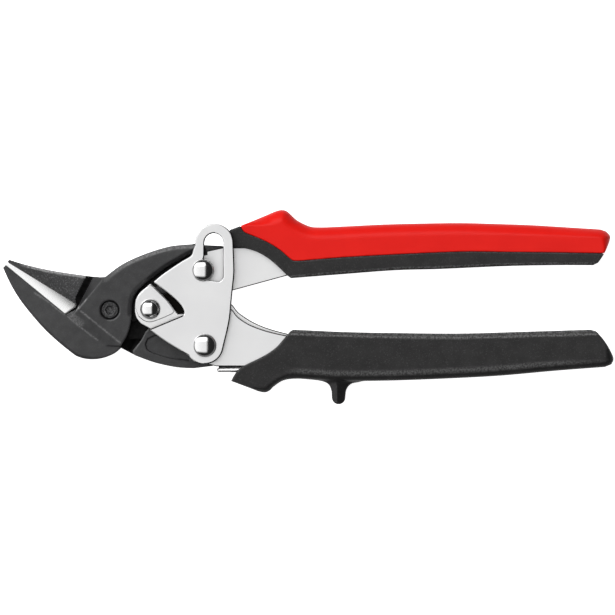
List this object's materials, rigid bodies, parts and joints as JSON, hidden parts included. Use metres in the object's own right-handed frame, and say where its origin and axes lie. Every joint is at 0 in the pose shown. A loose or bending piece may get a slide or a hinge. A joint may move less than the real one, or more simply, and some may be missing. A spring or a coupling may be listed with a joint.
{
  "type": "aviation snips",
  "caption": "Compound-leverage sheet-metal snips with forged offset jaws, riveted plate handles, a swinging locking plate and moulded two-colour grips.",
  "frame": {"origin": "on the blade pivot's axis, on the end face of the pivot bolt, which lies in the plane the tool rests on when it lies on its back", "axes": "+X from the blades to the grips, +Y from the lower grip to the upper grip, +Z from the back to the front, the side with the locking plate"},
  "size_m": [0.2396, 0.0766, 0.0245],
  "materials": {
    "black_forging": "black phosphated drop forging, matt and slightly rough",
    "dark_steel": "blackened steel, satin",
    "bright_plate": "bright nickel-plated sheet steel, fine satin",
    "polished_steel": "polished domed steel rivet",
    "bronze": "sintered bronze bush",
    "spring_steel": "drawn spring wire",
    "black_grip": "fine-grained black moulded plastic",
    "red_grip": "soft red elastomer, satin"
  },
  "bodies": {
    "lower_handle": {"lower_handle_frame": "bright_plate", "lower_grip": "black_grip", "lower_rivet": "polished_steel", "centre_rivet": "polished_steel", "centre_spacer": "dark_steel", "lower_arm_washer_back": "dark_steel", "lower_arm_washer_front": "dark_steel", "latch_spacer": "dark_steel", "opening_spring": "spring_steel"},
    "upper_handle": {"upper_handle_frame": "bright_plate", "upper_grip_body": "black_grip", "upper_grip_inlay": "red_grip", "upper_rivet": "polished_steel", "latch_collar": "dark_steel"},
    "rear_jaw_lever": {"rear_jaw": "black_forging", "lower_arm_bush": "bronze", "pivot_bolt": "dark_steel", "pivot_nut": "dark_steel", "pivot_washer": "dark_steel"},
    "front_jaw_lever": {"front_jaw": "black_forging", "upper_arm_bush": "bronze"},
    "latch": {"latch_plate": "bright_plate"}
  },
  "joints": [
    {"name": "handle_opening", "type": "hinge", "parent": "lower_handle", "child": "upper_handle", "pos_m": [0.0158, 0.00036, 0], "axis": [0, 0, 1], "range_deg": [0, 32]},
    {"name": "rear_jaw_swing", "type": "hinge", "parent": "lower_handle", "child": "rear_jaw_lever", "pos_m": [0.03728, -0.01394, 0], "axis": [0, 0, 1], "range_deg": [0, 7.6]},
    {"name": "blade_opening", "type": "hinge", "parent": "rear_jaw_lever", "child": "front_jaw_lever", "pos_m": [0, 0, 0], "axis": [0, 0, 1], "range_deg": [0, 16.9]},
    {"name": "latch_swing", "type": "hinge", "parent": "lower_handle", "child": "latch", "pos_m": [0.03728, -0.01394, 0], "axis": [0, 0, 1], "range_deg": [0, 25.7]}
  ],
  "couplings": [
    {"joint": "rear_jaw_swing", "follows": "handle_opening", "ratio": 0.2366},
    {"joint": "blade_opening", "follows": "handle_opening", "ratio": 0.527},
    {"joint": "latch_swing", "follows": "handle_opening", "ratio": 0.8}
  ]
}
